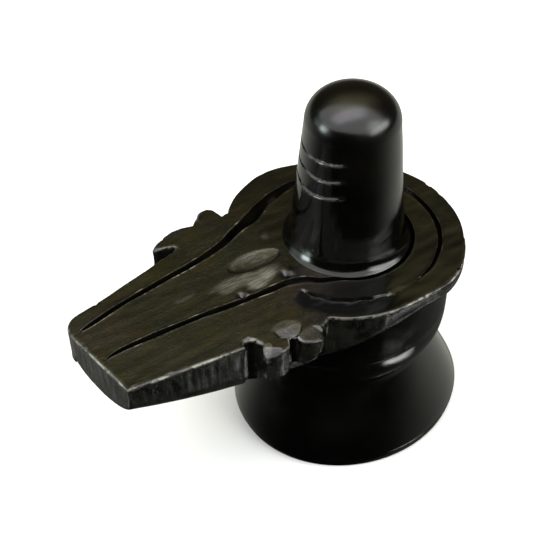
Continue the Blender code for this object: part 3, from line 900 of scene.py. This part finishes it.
def set_attributes(stone, lines):
    """Where the stone is carved, rubbed pale with painted highlight, painted with shade in cuts and
    recesses, freshly chiselled or upright, by place.
    """
    mesh = stone.data
    points = np.empty(len(mesh.vertices) * 3)
    mesh.vertices.foreach_get("co", points)
    x, y, z = (points.reshape(-1, 3) / MM).T
    radius = np.hypot(x, y)
    shaft = (z > PLATE_TOP + 0.15) & (radius < FLARE_RADIUS + 0.2)
    cup = (z < PLATE_TOP - side_depth(x) - 0.3) & (radius < CUP_RADIUS * (1 + OVAL) + 0.2)
    carved = np.where(shaft | cup | (z < POLISHED_TOP), 0.0, 1.0)
    distance, _ = edge_distance(np.column_stack([x, y]), plate_outline())
    # A pale line along the plate's top edge: partly rubbing, partly painted highlight.
    rim = np.exp(-(distance / 0.25) ** 2) * np.exp(-((z - PLATE_TOP + 0.2) / 0.35) ** 2)
    rim = rim * (0.25 + 0.75 * ease(-0.1, 0.6, rough(x, y, z, 2.6, 40)))
    # The groove lips come back pale, and the points in the grooves come back for painted shade.
    lips, cuts = groove_marks(x, y, z, lines)
    # Painted glints along the lower edges of the lingam's cut lines.
    line_glints = shaft * 0.12 * line_cut(np.arctan2(y, x), z + LINE_HALF_WIDTH * 1.2) / LINE_DEPTH
    upright = ease(0.5, 1.0, PLATE_TOP - z) * (distance < 0.5)
    # The edge attribute mixes rubbing with painted highlight and glints; the deep attribute holds painted
    # shade in cuts and recesses.
    values = {"carved": carved, "worn_and_glint": np.maximum(np.maximum(rim, lips) * carved, line_glints),
              "deep": np.maximum(cuts, painted_shade_places(x, y, z)) * carved,
              "pale": pale_places(x, y, z) * carved, "upright": upright * carved}
    for name, value in values.items():
        data = mesh.attributes.new(name, "FLOAT", "POINT")
        data.data.foreach_set("value", np.asarray(value, np.float32))


class Graph:
    """Short names for making and joining shader nodes."""

    def __init__(self, tree):
        self.nodes = tree.nodes
        self.links = tree.links

    def put(self, socket, value):
        """Links a node's output to a socket, or sets the socket's own value."""
        if isinstance(value, bpy.types.NodeSocket):
            self.links.new(value, socket)
        elif value is not None:
            socket.default_value = value

    def fill(self, node, names, values):
        """Links or sets a node's inputs, each found by its name or number."""
        for name, value in zip(names, values):
            self.put(node.inputs[name], value)

    def math(self, operation, a, b=None, clamp=False):
        """A sum, product or the like of numbers."""
        node = self.nodes.new("ShaderNodeMath")
        node.operation = operation
        node.use_clamp = clamp
        self.fill(node, (0, 1), (a, b))
        return node.outputs[0]

    def vector(self, operation, a, b=None):
        """A sum, product or the like of vectors or colours."""
        node = self.nodes.new("ShaderNodeVectorMath")
        node.operation = operation
        self.fill(node, (0, 1), (a, b))
        return node.outputs["Value" if operation == "DOT_PRODUCT" else "Vector"]

    def scaled(self, vector, amount):
        """A vector or colour times a number."""
        node = self.nodes.new("ShaderNodeVectorMath")
        node.operation = "SCALE"
        self.fill(node, (0, "Scale"), (vector, amount))
        return node.outputs["Vector"]

    def ease(self, value, low, high, start=0.0, end=1.0):
        """From start below low to end above high, and smooth between."""
        node = self.nodes.new("ShaderNodeMapRange")
        node.interpolation_type = "SMOOTHSTEP"
        names = ("Value", "From Min", "From Max", "To Min", "To Max")
        self.fill(node, names, (value, low, high, start, end))
        return node.outputs["Result"]

    def mix(self, share, a, b):
        """A colour between a and b."""
        node = self.nodes.new("ShaderNodeMix")
        node.data_type = "RGBA"
        a, b = (c if isinstance(c, bpy.types.NodeSocket) else (*c, 1) for c in (a, b))
        self.fill(node, (0, 6, 7), (share, a, b))
        return node.outputs[2]

    def between(self, share, a, b):
        """A number between a and b."""
        node = self.nodes.new("ShaderNodeMix")
        self.fill(node, (0, 2, 3), (share, a, b))
        return node.outputs[0]

    def noise(self, vector, scale, detail, roughness, distortion=0.0):
        """Noise from 0 to 1, with the scale per metre."""
        node = self.nodes.new("ShaderNodeTexNoise")
        names = ("Vector", "Scale", "Detail", "Roughness", "Distortion")
        self.fill(node, names, (vector, scale, detail, roughness, distortion))
        return node.outputs["Fac"]

    def attribute(self, name):
        """A value that the mesh keeps at its points."""
        node = self.nodes.new("ShaderNodeAttribute")
        node.attribute_name = name
        return node.outputs["Fac"]

    def stretched(self, vector, size):
        """A place scaled along each axis, so that noise there is drawn out."""
        node = self.nodes.new("ShaderNodeMapping")
        self.put(node.inputs["Vector"], vector)
        node.inputs["Scale"].default_value = size
        return node.outputs["Vector"]

    def height(self, vector):
        """The Z of a place or direction."""
        node = self.nodes.new("ShaderNodeSeparateXYZ")
        self.put(node.inputs[0], vector)
        return node.outputs["Z"]


def stone_colour(graph, place, marks, tint, blotch):
    """Near-black polished stone, and dull, scratched stone of brown and green where it is carved, with
    painted shade in its cuts and recesses, pale edges that are partly rubbed and partly painted highlight,
    and painted glints on the lingam's lines.
    """
    upright = graph.attribute("upright")
    hue = graph.noise(graph.stretched(place, (1, 1.6, 1)), 80, 3, 0.6, 0.6)
    dull = graph.mix(graph.ease(hue, 0.35, 0.65), BROWN, GREEN)
    dull = graph.mix(graph.ease(blotch, 0.50, 0.72), dull, RUST)
    dull = graph.mix(graph.math("MULTIPLY", upright, 0.8), dull, WALL_GREY)
    dull = graph.mix(graph.ease(tint, 0.30, 0.62), PIT_BLACK, dull)
    scratches = graph.math("MULTIPLY", graph.ease(marks, 0.53, 0.78), graph.ease(upright, 0, 1, 1.0, 0.4))
    specks = graph.ease(graph.noise(place, 2600, 2, 0.6), 0.60, 0.74)
    strokes = graph.noise(graph.stretched(place, (0.10, 1, 1)), 2900, 3, 0.6)
    fresh = graph.math("MULTIPLY", graph.attribute("pale"), graph.ease(strokes, 0.30, 0.72, 0.30, 1.65))
    for colour, amount in ((SCRATCH, scratches), (SPECK, specks), (FRESH, fresh)):
        dull = graph.vector("ADD", dull, graph.scaled(colour, amount))
    # Painted shade in the grooves and recesses.
    dull = graph.mix(graph.attribute("deep"), dull, PAINTED_SHADE_BLACK)
    polished = graph.mix(graph.ease(blotch, 0.4, 0.7), POLISHED_BLACK, POLISHED_OLIVE)
    colour = graph.mix(graph.attribute("carved"), polished, dull)
    # Pale edges: rubbed pale and partly painted highlight on the plate, painted glints along the lingam's
    # lines.
    scuffs = graph.ease(graph.noise(place, 900, 3, 0.65), 0.36, 0.58)
    edge = graph.math("MULTIPLY", graph.attribute("worn_and_glint"), scuffs, clamp=True)
    return graph.mix(edge, colour, WORN_AND_GLINT_GREY)


def stone_roughness(graph, place, tint):
    """Smooth where the stone is turned, less so on the dome, and matt where it is carved."""
    dome = graph.ease(graph.height(place), DOME_START_M, DOME_END_M, 0.0, 0.11)
    gloss = graph.ease(graph.noise(place, 160, 4, 0.6), 0.35, 0.7, 0.08, 0.17)
    matt = graph.math("ADD", graph.ease(tint, 0.3, 0.75, 0.28, 0.18),
                      graph.math("MULTIPLY", graph.attribute("deep"), -0.08))
    return graph.between(graph.attribute("carved"), graph.math("ADD", gloss, dome), matt)


def stone_bump(graph, place, marks):
    """File marks and grain on the carved stone, and faint turning marks on the rest."""
    grain = graph.noise(place, 1700, 3, 0.6)
    dull = graph.math("ADD", graph.math("MULTIPLY", marks, 0.5), graph.math("MULTIPLY", grain, 0.5))
    dull = graph.math("MULTIPLY", dull, graph.ease(graph.attribute("deep"), 0, 1, 1.0, 0.25))
    turned = graph.noise(graph.stretched(place, (0.06, 0.06, 1)), 1700, 3, 0.7)
    bump = graph.nodes.new("ShaderNodeBump")
    bump.inputs["Distance"].default_value = BUMP_DEPTH_M
    height = graph.between(graph.attribute("carved"), graph.math("MULTIPLY", turned, 0.10), dull)
    graph.put(bump.inputs["Height"], height)
    return bump.outputs["Normal"]


def stone_material():
    """Black stone: polished where it was turned, dull and scratched where it was carved."""
    material = bpy.data.materials.new("black_stone")
    material.use_nodes = True
    graph = Graph(material.node_tree)
    shader = material.node_tree.nodes["Principled BSDF"]
    place = graph.nodes.new("ShaderNodeTexCoord").outputs["Object"]
    file_marks = graph.noise(graph.stretched(place, (0.22, 1, 1)), 1900, 4, 0.7)
    wall_marks = graph.noise(graph.stretched(place, (1, 1, 0.10)), 1500, 4, 0.7)
    marks = graph.between(graph.attribute("upright"), file_marks, wall_marks)
    tint = graph.noise(graph.stretched(place, (1, 1.6, 1)), 260, 4, 0.65)
    blotch = graph.noise(place, 55, 4, 0.6)
    graph.put(shader.inputs["Base Color"], stone_colour(graph, place, marks, tint, blotch))
    graph.put(shader.inputs["Roughness"], stone_roughness(graph, place, tint))
    graph.put(shader.inputs["Normal"], stone_bump(graph, place, marks))
    return material


def floor():
    """A plain pale floor."""
    half = FLOOR_HALF
    corners = [(-half, -half, 0), (half, -half, 0), (half, half, 0), (-half, half, 0)]
    obj = mesh_object("floor", corners, [(0, 1, 2, 3)])
    obj.location.z = -FLOOR_DROP_M
    material = bpy.data.materials.new("pale_floor")
    material.use_nodes = True
    shader = material.node_tree.nodes["Principled BSDF"]
    shader.inputs["Base Color"].default_value = FLOOR_COLOUR
    shader.inputs["Roughness"].default_value = 0.9
    obj.data.materials.append(material)
    obj.visible_glossy = False


def camera():
    """The photograph's view."""
    data = bpy.data.cameras.new("camera")
    data.sensor_width = CAMERA_SENSOR
    data.lens = CAMERA_LENS
    data.clip_start = 0.01
    obj = bpy.data.objects.new("camera", data)
    obj.location = CAMERA_PLACE_M
    obj.rotation_euler = (math.radians(CAMERA_TILT), 0, math.radians(CAMERA_TURN))
    bpy.context.scene.collection.objects.link(obj)
    bpy.context.scene.camera = obj


def toward(azimuth, elevation):
    """Unit vector toward a direction in degrees."""
    a, e = math.radians(azimuth), math.radians(elevation)
    return Vector((math.cos(a) * math.cos(e), math.sin(a) * math.cos(e), math.sin(e)))


def panel(graph, place, ways, half, power, soft, shown, colour, strength):
    """Light from a rectangle with rounded corners and soft edges, where shown lets it through."""
    parts = []
    for way, reach in zip(ways, half):
        share = graph.math("DIVIDE", graph.vector("DOT_PRODUCT", place, tuple(way)), reach)
        parts.append(graph.math("POWER", graph.math("ABSOLUTE", share), power))
    reach = graph.math("POWER", graph.math("ADD", *parts), 1 / power)
    lit = graph.math("MULTIPLY", graph.ease(reach, 1 - soft, 1 + soft, 1, 0), shown)
    return graph.scaled(colour, graph.math("MULTIPLY", lit, strength))


def window(graph, direction, azimuth, elevation, wide, high, soft, colour, strength):
    """A soft-edged light panel around the object."""
    out = toward(azimuth, elevation)
    side = Vector((0, 0, 1)).cross(out).normalized()
    half = (math.sin(math.radians(wide)), math.sin(math.radians(high)))
    ahead = graph.ease(graph.vector("DOT_PRODUCT", direction, tuple(out)), 0.0, 0.1)
    return panel(graph, direction, (side, out.cross(side)), half, 4, soft, ahead, colour, strength)


def ceiling(graph, direction, middle, half, turn, soft, colour, strength):
    """A soft-edged light panel overhead, laid out on a level plane one unit above the object."""
    rise = graph.height(direction)
    spread = graph.scaled(direction, graph.math("DIVIDE", 1.0, graph.math("MAXIMUM", rise, 0.02)))
    offset = graph.vector("SUBTRACT", spread, (*middle, 0))
    t = math.radians(turn)
    ways = (math.cos(t), math.sin(t), 0), (-math.sin(t), math.cos(t), 0)
    return panel(graph, offset, ways, half, 6, soft, graph.ease(rise, 0.1, 0.25), colour, strength)


def surround(graph, direction):
    """A dim room behind the object and a pale table below it, darker where the object stands."""
    rise = graph.height(direction)
    level = graph.vector("NORMALIZE", graph.vector("MULTIPLY", direction, (1, 1, 0)))
    behind = graph.vector("DOT_PRODUCT", level, tuple(toward(BEHIND, 0)))
    room = graph.scaled(ROOM_COLOUR, graph.ease(behind, 0.0, 1.1, 0.015, 0.175))
    table = graph.math("ADD", graph.ease(behind, -0.55, 0.6, 0.0, 0.58),
                       graph.ease(behind, -0.9, -0.3, 0.0, 0.07))
    shade = graph.ease(rise, -0.68, -0.56, 0.15, 1.0)
    spout_shade = graph.ease(rise, -0.9, -0.6, 0.05, 1.0)
    spout_side = graph.vector("DOT_PRODUCT", level, tuple(toward(SPOUT_SIDE, 0)))
    gain = graph.math("SUBTRACT", spout_shade, shade)
    gain = graph.math("MULTIPLY", gain, graph.ease(spout_side, -0.2, 0.3))
    table = graph.scaled(graph.scaled(TABLE_COLOUR, table), graph.math("ADD", shade, gain))
    return graph.mix(graph.ease(rise, -0.16, 0.02), table, room)


def studio():
    """Plain soft light: panels overhead and around, a dim room, a pale table and a pale backdrop."""
    scene = bpy.context.scene
    world = bpy.data.worlds.new("studio")
    scene.world = world
    world.use_nodes = True
    graph = Graph(world.node_tree)
    background = world.node_tree.nodes["Background"]
    direction = graph.nodes.new("ShaderNodeTexCoord").outputs["Generated"]
    light = surround(graph, direction)
    for values in CEILINGS:
        light = graph.vector("ADD", light, ceiling(graph, direction, *values))
    for values in WINDOWS:
        light = graph.vector("ADD", light, window(graph, direction, *values))
    seen = graph.nodes.new("ShaderNodeLightPath").outputs["Is Camera Ray"]
    graph.put(background.inputs["Color"], graph.mix(seen, light, BACKDROP))
    scene.view_settings.view_transform = "Standard"


camera()
floor()
studio()
grooves = [groove_line(outer_groove()), groove_line(inner_groove())]
stone = plate(grooves)
join(stone, [lingam(), pedestal()])
set_attributes(stone, grooves)
stone.data.materials.clear()
stone.data.materials.append(stone_material())
stone.data.shade_smooth()
stone.data.set_sharp_from_angle(angle=math.radians(SHARP_ANGLE))
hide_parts("shiva_lingam")
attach(stone, "root")
